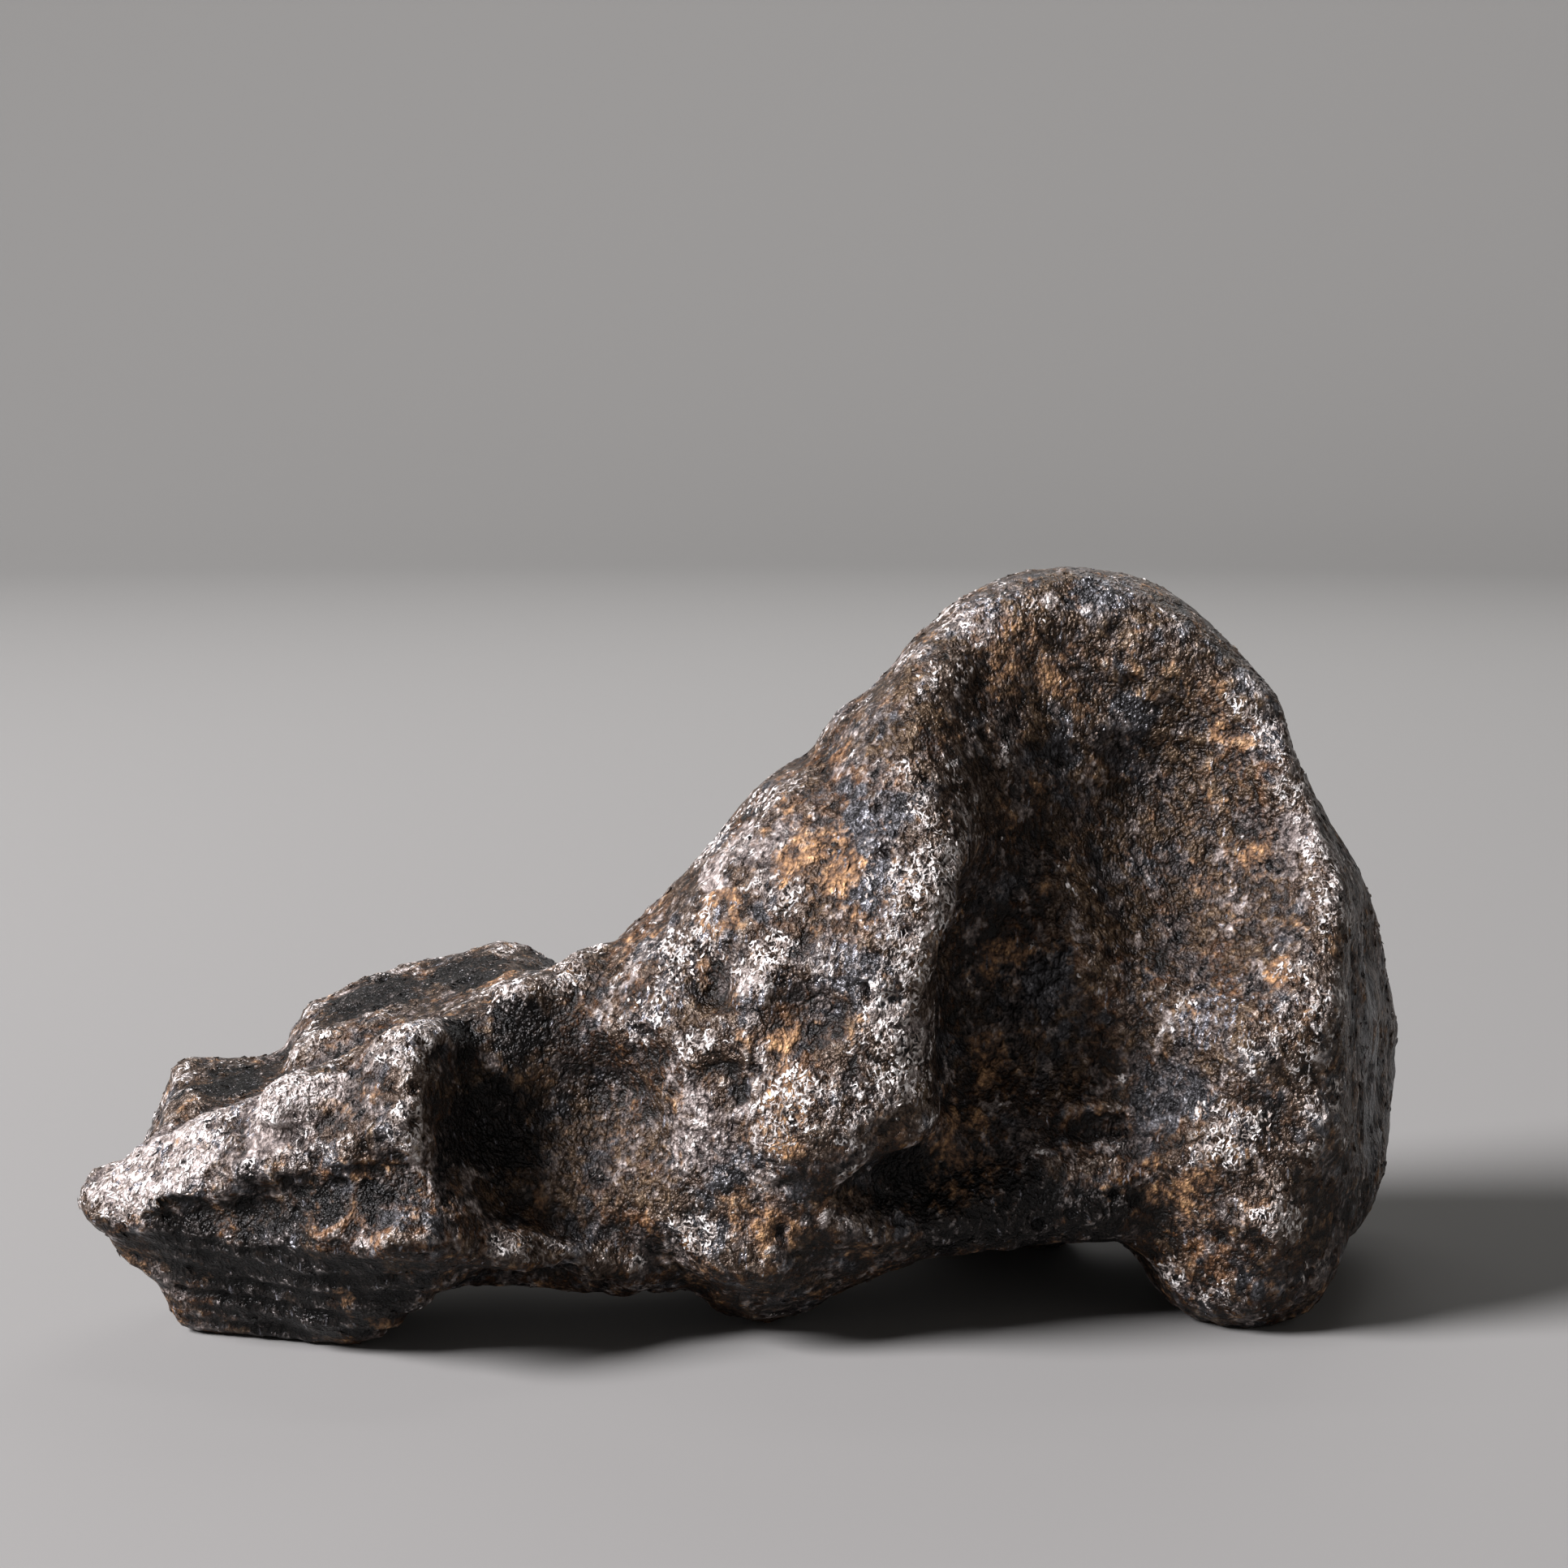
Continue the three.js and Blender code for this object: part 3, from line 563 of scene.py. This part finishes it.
def weathered_iron():
    """Nickel-iron with a thin brown oxide skin, brushed and waxed: dark with soft glints, and dull where rust
    and crust lie on it. Part of its shade and glints is painted into the colours."""
    material = bpy.data.materials.new("weathered nickel-iron")
    material.use_nodes = True
    tree = material.node_tree
    shader = tree.nodes["Principled BSDF"]
    shader.inputs["Coat Weight"].default_value = WAX
    shader.inputs["Coat Roughness"].default_value = WAX_ROUGHNESS
    shader.inputs["Specular IOR Level"].default_value = DULL_SHEEN
    place = add_node(tree, "ShaderNodeTexCoord").outputs["Object"]
    mask = {
        name: add_node(tree, "ShaderNodeAttribute", attribute_name=name).outputs["Fac"]
        for name in ("edge", *PATCHES)
    }

    # Places drawn out upright, and swirled a little so that no cell has a straight side.
    upright = add_node(tree, "ShaderNodeMapping", {"Vector": place, "Scale": (1, 1, UPRIGHT)}).outputs[0]
    swirl = add_node(
        tree, "ShaderNodeTexNoise", {"Vector": place, "Scale": 1 / (SWIRL * MM)}
    ).outputs["Color"]
    bent = add_node(
        tree, "ShaderNodeVectorMath", {0: swirl, 1: (MM, MM, MM), 2: upright}, operation="MULTIPLY_ADD"
    ).outputs[0]

    # The height of the grain, and the same with convex edges raised, which the colours follow: pits darker
    # and crests paler, partly painted shade and highlight.
    lumps = add_node(tree, "ShaderNodeTexNoise", {"Vector": bent, "Scale": 1 / (LUMP * MM), "Detail": 4.0})
    grit = add_node(tree, "ShaderNodeTexNoise", {"Vector": upright, "Scale": 1 / (GRIT * MM), "Detail": 2.0})
    chips = add_node(tree, "ShaderNodeTexVoronoi", {"Vector": bent, "Scale": 1 / (CHIP * MM)})
    scales = add_node(tree, "ShaderNodeTexVoronoi", {"Vector": bent, "Scale": 1 / (SCALE * MM)})
    height = BASE
    for grain, share in (
        (lumps.outputs["Fac"], LUMP_HEIGHT), (grit.outputs["Fac"], GRIT_HEIGHT),
        (chips.outputs["Distance"], CHIP_DEPTH), (scales.outputs["Distance"], SCALE_DEPTH),
    ):
        height = add_node(
            tree, "ShaderNodeMath", {0: grain, 1: share, 2: height}, operation="MULTIPLY_ADD"
        ).outputs[0]
    tips = add_node(
        tree, "ShaderNodeMath", {0: mask["edge"], 1: EDGE_LIFT, 2: height}, operation="MULTIPLY_ADD"
    ).outputs[0]

    colours, metallic, roughness = IRON
    colour = add_node(tree, "ShaderNodeValToRGB", {"Fac": tips}, zip(STOPS, colours)).outputs[0]

    # What covers the iron: each cover's share of the surface, its colours, metalness and roughness.
    covers = []
    for name, bias, coarse, fine, (low, high), colours, metal, rough in LAYERS.values():
        share = add_node(
            tree, "ShaderNodeMath", {0: mask[name], 1: bias, 2: 0.0}, operation="MULTIPLY_ADD"
        ).outputs[0]
        for length, weight, detail in (
            (coarse, COARSE_SHARE, COARSE_DETAIL), (fine, FINE_SHARE, FINE_DETAIL),
        ):
            breaks = add_node(
                tree, "ShaderNodeTexNoise",
                {"Vector": upright, "Scale": 1 / (length * MM), "Detail": detail},
            ).outputs["Fac"]
            share = add_node(
                tree, "ShaderNodeMath", {0: breaks, 1: weight, 2: share}, operation="MULTIPLY_ADD"
            ).outputs[0]
        share = add_node(tree, "ShaderNodeMapRange", {0: share, 1: low, 2: high}).outputs[0]
        covers.append((share, tips, STOPS, colours, metal, rough))

    # Painted glints, partly bare rubbed metal: pale upright streaks.
    drawn_out = add_node(
        tree, "ShaderNodeMapping", {"Vector": place, "Scale": (1, 1, RUBBED_GLINT_UPRIGHT)}
    ).outputs[0]
    streaks = add_node(
        tree, "ShaderNodeTexNoise", {"Vector": drawn_out, "Scale": 1 / (RUBBED_GLINT_WIDTH * MM), "Detail": 3.0}
    ).outputs["Fac"]
    share = add_node(
        tree, "ShaderNodeMath", {0: mask["rubbed"], 1: RUBBED_GLINT_BIAS, 2: streaks}, operation="MULTIPLY_ADD"
    ).outputs[0]
    share = add_node(
        tree, "ShaderNodeMapRange", {0: share, 1: RUBBED_GLINT_RANGE[0], 2: RUBBED_GLINT_RANGE[1]}
    ).outputs[0]
    covers.append((share, tips, STOPS, *RUBBED_METAL_AND_GLINTS))

    # The crust runs in thin lines along the middle values of its noise, where the clusters are.
    lines = add_node(
        tree, "ShaderNodeTexNoise", {"Vector": bent, "Scale": 1 / (LINES * MM), "Detail": 1.5}
    ).outputs["Fac"]
    apart = add_node(tree, "ShaderNodeMath", {0: lines, 1: 0.5}, operation="SUBTRACT").outputs[0]
    apart = add_node(tree, "ShaderNodeMath", {0: apart}, operation="ABSOLUTE").outputs[0]
    on_line = add_node(
        tree, "ShaderNodeMapRange", {0: apart, 1: LINE_EDGES[0], 2: LINE_EDGES[1]}
    ).outputs[0]
    crowd = 0.0
    for length, weight in ((CLUSTER, CLUSTER_SHARE), (BIT, BIT_SHARE)):
        breaks = add_node(
            tree, "ShaderNodeTexNoise", {"Vector": upright, "Scale": 1 / (length * MM), "Detail": 2.0}
        ).outputs["Fac"]
        crowd = add_node(
            tree, "ShaderNodeMath", {0: breaks, 1: weight, 2: crowd}, operation="MULTIPLY_ADD"
        ).outputs[0]
    for name, weight in CLUSTER_WEIGHTS.items():
        crowd = add_node(
            tree, "ShaderNodeMath", {0: mask[name], 1: weight, 2: crowd}, operation="MULTIPLY_ADD"
        ).outputs[0]
    crowd = add_node(
        tree, "ShaderNodeMapRange", {0: crowd, 1: CLUSTER_RANGE[0], 2: CLUSTER_RANGE[1]}
    ).outputs[0]
    crust = add_node(tree, "ShaderNodeMath", {0: crowd, 1: on_line}, operation="MULTIPLY").outputs[0]
    shades = add_node(
        tree, "ShaderNodeTexNoise", {"Vector": upright, "Scale": 1 / (CRUST_SHADE * MM)}
    ).outputs["Fac"]
    covers.append((crust, shades, CRUST_STOPS, *CRUST))

    for share, value, stops, colours, metal, rough in covers:
        paint = add_node(tree, "ShaderNodeValToRGB", {"Fac": value}, zip(stops, colours)).outputs[0]
        colour = add_node(
            tree, "ShaderNodeMix", {FACTOR: share, COLOUR_A: colour, COLOUR_B: paint}, data_type="RGBA"
        ).outputs[COLOUR_RESULT]
        metallic = add_node(tree, "ShaderNodeMix", {FACTOR: share, A: metallic, B: metal}).outputs[RESULT]
        roughness = add_node(tree, "ShaderNodeMix", {FACTOR: share, A: roughness, B: rough}).outputs[RESULT]
    height = add_node(
        tree, "ShaderNodeMath", {0: crust, 1: LINE_HEIGHT, 2: height}, operation="MULTIPLY_ADD"
    ).outputs[0]

    bump = add_node(
        tree, "ShaderNodeBump", {"Strength": 1.0, "Distance": DEEPEST * MM, "Height": height}
    ).outputs[0]
    for name, value in {
        "Normal": bump, "Coat Normal": bump, "Base Color": colour, "Metallic": metallic,
        "Roughness": roughness,
    }.items():
        tree.links.new(value, shader.inputs[name])
    return material


# What is scattered over the skin: crumbs of crust that stand on it, and flakes of its own scale that lie
# on it, some with one edge lifted. The attribute that crowds them and the one that their random number
# fills, how many there are to a square millimetre where they lie thickest, their least and greatest half
# width, half length and half height, how ragged they are, and how far they tilt.
CRUMBS = {
    "Crowding": "crumbs", "Lot": "shade", "Density": 5.0 / MM**2,
    "Smallest": (0.04 * MM, 0.08 * MM, 0.04 * MM), "Largest": (0.12 * MM, 0.3 * MM, 0.09 * MM),
    "Raggedness": 0.2 * MM, "Tilt": 0.3, "Seed": 5,
}
FLAKES = {
    "Crowding": "flakes", "Lot": "edge", "Density": 0.6 / MM**2,
    "Smallest": (0.14 * MM, 0.2 * MM, 0.03 * MM), "Largest": (0.36 * MM, 0.6 * MM, 0.07 * MM),
    "Raggedness": 0.3 * MM, "Tilt": 0.16, "Seed": 9,
}

# The size of the dents that make them ragged, in millimetres, and the least and greatest direction that
# their length takes: any way, but mostly upwards.
RAGGED_DENT = 0.16
LENGTHWISE = ((-0.7, -0.7, 0.3), (0.7, 0.7, 1.0))

SCATTER_INPUTS = {
    "Mesh": "NodeSocketGeometry", "Crowding": "NodeSocketString", "Lot": "NodeSocketString",
    "Density": "NodeSocketFloat", "Smallest": "NodeSocketVector", "Largest": "NodeSocketVector",
    "Raggedness": "NodeSocketFloat", "Tilt": "NodeSocketFloat", "Seed": "NodeSocketInt",
}


def scatter_tree(material):
    """Scatters ragged lumps over a mesh, as thick as one of its attributes says and most of them upright
    along it, and gives each a random number."""
    tree = bpy.data.node_groups.new("scatter", "GeometryNodeTree")
    for name, kind in SCATTER_INPUTS.items():
        tree.interface.new_socket(name, in_out="INPUT", socket_type=kind)
    tree.interface.new_socket("Lumps", in_out="OUTPUT", socket_type="NodeSocketGeometry")
    given = add_node(tree, "NodeGroupInput").outputs
    crowding = add_node(
        tree, "GeometryNodeInputNamedAttribute", {"Name": given["Crowding"]}, data_type="FLOAT"
    ).outputs["Attribute"]
    density = add_node(
        tree, "ShaderNodeMath", {0: crowding, 1: given["Density"]}, operation="MULTIPLY"
    ).outputs[0]
    spread = add_node(
        tree, "GeometryNodeDistributePointsOnFaces",
        {"Mesh": given["Mesh"], "Density": density, "Seed": given["Seed"]},
    ).outputs
    upwards = add_node(
        tree, "FunctionNodeRandomValue", {0: LENGTHWISE[0], 1: LENGTHWISE[1]}, data_type="FLOAT_VECTOR"
    ).outputs[0]
    sideways = add_node(
        tree, "FunctionNodeRandomValue", {0: (-1.0, -1.0, -1.0), 1: (1.0, 1.0, 1.0), "Seed": 3},
        data_type="FLOAT_VECTOR",
    ).outputs[0]
    tilt = add_node(
        tree, "ShaderNodeVectorMath", {0: sideways, 1: given["Tilt"], 2: spread["Normal"]},
        operation="MULTIPLY_ADD",
    ).outputs[0]
    standing = add_node(tree, "FunctionNodeAlignRotationToVector", {"Vector": tilt}, axis="Z").outputs[0]
    turned = add_node(
        tree, "FunctionNodeAlignRotationToVector", {"Rotation": standing, "Vector": upwards},
        axis="Y", pivot_axis="Z",
    ).outputs[0]
    size = add_node(
        tree, "FunctionNodeRandomValue", {0: given["Smallest"], 1: given["Largest"], "Seed": 1},
        data_type="FLOAT_VECTOR",
    ).outputs[0]
    lump = add_node(tree, "GeometryNodeMeshIcoSphere", {"Radius": 1.0, "Subdivisions": 1}).outputs["Mesh"]
    placed = add_node(
        tree, "GeometryNodeInstanceOnPoints",
        {"Points": spread["Points"], "Instance": lump, "Rotation": turned, "Scale": size},
    ).outputs[0]
    lot = add_node(tree, "FunctionNodeRandomValue", {"Seed": 2}, data_type="FLOAT").outputs[1]
    named = add_node(
        tree, "GeometryNodeStoreNamedAttribute", {"Geometry": placed, "Name": given["Lot"], "Value": lot},
        data_type="FLOAT", domain="INSTANCE",
    ).outputs[0]
    real = add_node(tree, "GeometryNodeRealizeInstances", {"Geometry": named}).outputs[0]
    dents = add_node(
        tree, "ShaderNodeTexNoise", {"Scale": 1 / (RAGGED_DENT * MM), "Detail": 1.0}
    ).outputs["Color"]
    centred = add_node(
        tree, "ShaderNodeVectorMath", {0: dents, 1: (0.5, 0.5, 0.5)}, operation="SUBTRACT"
    ).outputs[0]
    offset = add_node(
        tree, "ShaderNodeVectorMath", {0: centred, "Scale": given["Raggedness"]}, operation="SCALE"
    ).outputs[0]
    ragged = add_node(tree, "GeometryNodeSetPosition", {"Geometry": real, "Offset": offset}).outputs[0]
    flat = add_node(
        tree, "GeometryNodeSetShadeSmooth", {"Geometry": ragged, "Shade Smooth": False}
    ).outputs[0]
    done = add_node(tree, "GeometryNodeSetMaterial", {"Geometry": flat, "Material": material}).outputs[0]
    add_node(tree, "NodeGroupOutput", {"Lumps": done})
    return tree


def scattered(name, bed, tree, values):
    """What the tree makes of the bed's mesh, as a plain object of its own."""
    maker = bpy.data.objects.new(name, bed.data)
    bpy.context.scene.collection.objects.link(maker)
    modifier = maker.modifiers.new(name, "NODES")
    modifier.node_group = tree
    for socket in tree.interface.items_tree:
        if socket.name in values:
            modifier[socket.identifier] = values[socket.name]
    seen = maker.evaluated_get(bpy.context.evaluated_depsgraph_get())
    mesh = bpy.data.meshes.new_from_object(seen)
    mesh.name = name
    maker.modifiers.clear()
    maker.data = mesh
    return maker


# The crumbs: from the dull brown of the dirtiest to the cream of the cleanest, how much paler they are in
# the patches of crust, and how rough.
CRUMB_COLOURS = ((0.0, "#35261e"), (0.3, "#5e4c41"), (0.6, "#8c7f77"), (0.9, "#b4aaa4"), (1.0, "#d9d3cf"))
CRUMB_PALER = 0.4
CRUMB_ROUGHNESS = 0.75


def mineral_crust():
    """Mineral crust left in pits and on ridges: crumbly and quite matt, cream but brown where dirty."""
    material = bpy.data.materials.new("pale mineral crust")
    material.use_nodes = True
    tree = material.node_tree
    shader = tree.nodes["Principled BSDF"]
    shader.inputs["Roughness"].default_value = CRUMB_ROUGHNESS
    shade = add_node(tree, "ShaderNodeAttribute", attribute_name="shade").outputs["Fac"]
    crust = add_node(tree, "ShaderNodeAttribute", attribute_name="crust").outputs["Fac"]
    pale = add_node(
        tree, "ShaderNodeMath", {0: crust, 1: CRUMB_PALER, 2: shade}, operation="MULTIPLY_ADD"
    ).outputs[0]
    colour = add_node(tree, "ShaderNodeValToRGB", {"Fac": pale}, CRUMB_COLOURS).outputs[0]
    tree.links.new(colour, shader.inputs["Base Color"])
    return material


# The studio: a pale floor that curves up all round, and soft lights. Metres.
FLOOR_RADIUS = 0.9
SWEEP_RADIUS = 0.5
WALL_TOP = 1.6
SWEEP_STEPS = 12
FLOOR_SIDES = 96
FLOOR_PAINT = "#777674"
FLOOR_ROUGHNESS = 0.9
DAYLIGHT = "#fff6ea"
DAYLIGHT_STRENGTH = 0.055

# Each lamp: where it stands and where it is aimed, its width, its watts and its colour.
AIM = (0, 0, 0.02)
LAMPS = {
    "key light": ((-0.93, -0.38, 0.78), AIM, 0.5, 54, "#fdfbff"),
    "fill light": ((0.5, -0.4, 0.35), AIM, 0.5, 0.15, "#fff6ea"),
    "back light": ((0.2, 0.55, 0.5), AIM, 0.4, 0.9, "#ffffff"),
    "backdrop light": ((0, 0.45, 1.0), (0, 1.4, 0.45), 0.8, 9, "#ffffff"),
}


def make_floor():
    """A round pale floor whose rim sweeps up into a wall."""
    turns = [math.pi / 2 * k / SWEEP_STEPS for k in range(SWEEP_STEPS + 1)]
    sweep = [(FLOOR_RADIUS + SWEEP_RADIUS * math.sin(t), SWEEP_RADIUS * (1 - math.cos(t))) for t in turns]
    profile = sweep + [(FLOOR_RADIUS + SWEEP_RADIUS, WALL_TOP)]
    angles = [2 * math.pi * k / FLOOR_SIDES for k in range(FLOOR_SIDES)]
    points = [(r * math.cos(a), r * math.sin(a), z) for r, z in profile for a in angles]
    faces = [tuple(range(FLOOR_SIDES))]
    for ring in range(len(profile) - 1):
        for k in range(FLOOR_SIDES):
            a, b = ring * FLOOR_SIDES + k, ring * FLOOR_SIDES + (k + 1) % FLOOR_SIDES
            faces.append((a, a + FLOOR_SIDES, b + FLOOR_SIDES, b))
    mesh = bpy.data.meshes.new("floor")
    mesh.from_pydata(points, [], faces)
    mesh.shade_smooth()
    paint = bpy.data.materials.new("matt pale paint")
    paint.use_nodes = True
    paint.node_tree.nodes["Principled BSDF"].inputs["Base Color"].default_value = linear(FLOOR_PAINT)
    paint.node_tree.nodes["Principled BSDF"].inputs["Roughness"].default_value = FLOOR_ROUGHNESS
    mesh.materials.append(paint)
    floor = bpy.data.objects.new("floor", mesh)
    bpy.context.scene.collection.objects.link(floor)


def add_light(name, at, aim, size, watts, colour):
    """A round soft lamp aimed at a place."""
    lamp = bpy.data.lights.new(name, "AREA")
    lamp.shape = "DISK"
    lamp.size = size
    lamp.energy = watts
    lamp.color = linear(colour)[:3]
    light = bpy.data.objects.new(name, lamp)
    light.location = at
    light.rotation_euler = (Vector(aim) - Vector(at)).to_track_quat("-Z", "Y").to_euler()
    bpy.context.scene.collection.objects.link(light)


def make_studio():
    """The floor, the lamps and a little light from all round."""
    make_floor()
    for name, (at, aim, size, watts, colour) in LAMPS.items():
        add_light(name, at, aim, size, watts, colour)
    world = bpy.data.worlds.new("studio")
    world.use_nodes = True
    world.node_tree.nodes["Background"].inputs["Color"].default_value = linear(DAYLIGHT)
    world.node_tree.nodes["Background"].inputs["Strength"].default_value = DAYLIGHT_STRENGTH
    bpy.context.scene.world = world


def make_camera():
    """A camera that looks along +Y, tipped down."""
    lens = bpy.data.cameras.new("camera")
    lens.sensor_width = SENSOR
    lens.lens = LENS
    lens.clip_start = 0.01
    camera = bpy.data.objects.new("camera", lens)
    camera.location = Vector(CAMERA_AT) * MM
    camera.rotation_euler = (math.radians(90 - CAMERA_TIPPED_DEGREES), 0, 0)
    bpy.context.scene.collection.objects.link(camera)
    bpy.context.scene.camera = camera


make_camera()
make_studio()
bpy.context.scene.view_settings.view_transform = "Standard"

skin = build_skin()
meteorite = mesh_object("meteorite_skin", skin, skin_attributes(skin), weathered_iron())
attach(meteorite, "root")
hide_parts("meteorite")

for name, finish, values in (
    ("crust_crumbs", mineral_crust(), CRUMBS),
    ("scale_flakes", meteorite.data.materials[0], FLAKES),
):
    lumps = scattered(name, meteorite, scatter_tree(finish), values)
    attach(lumps, "root")
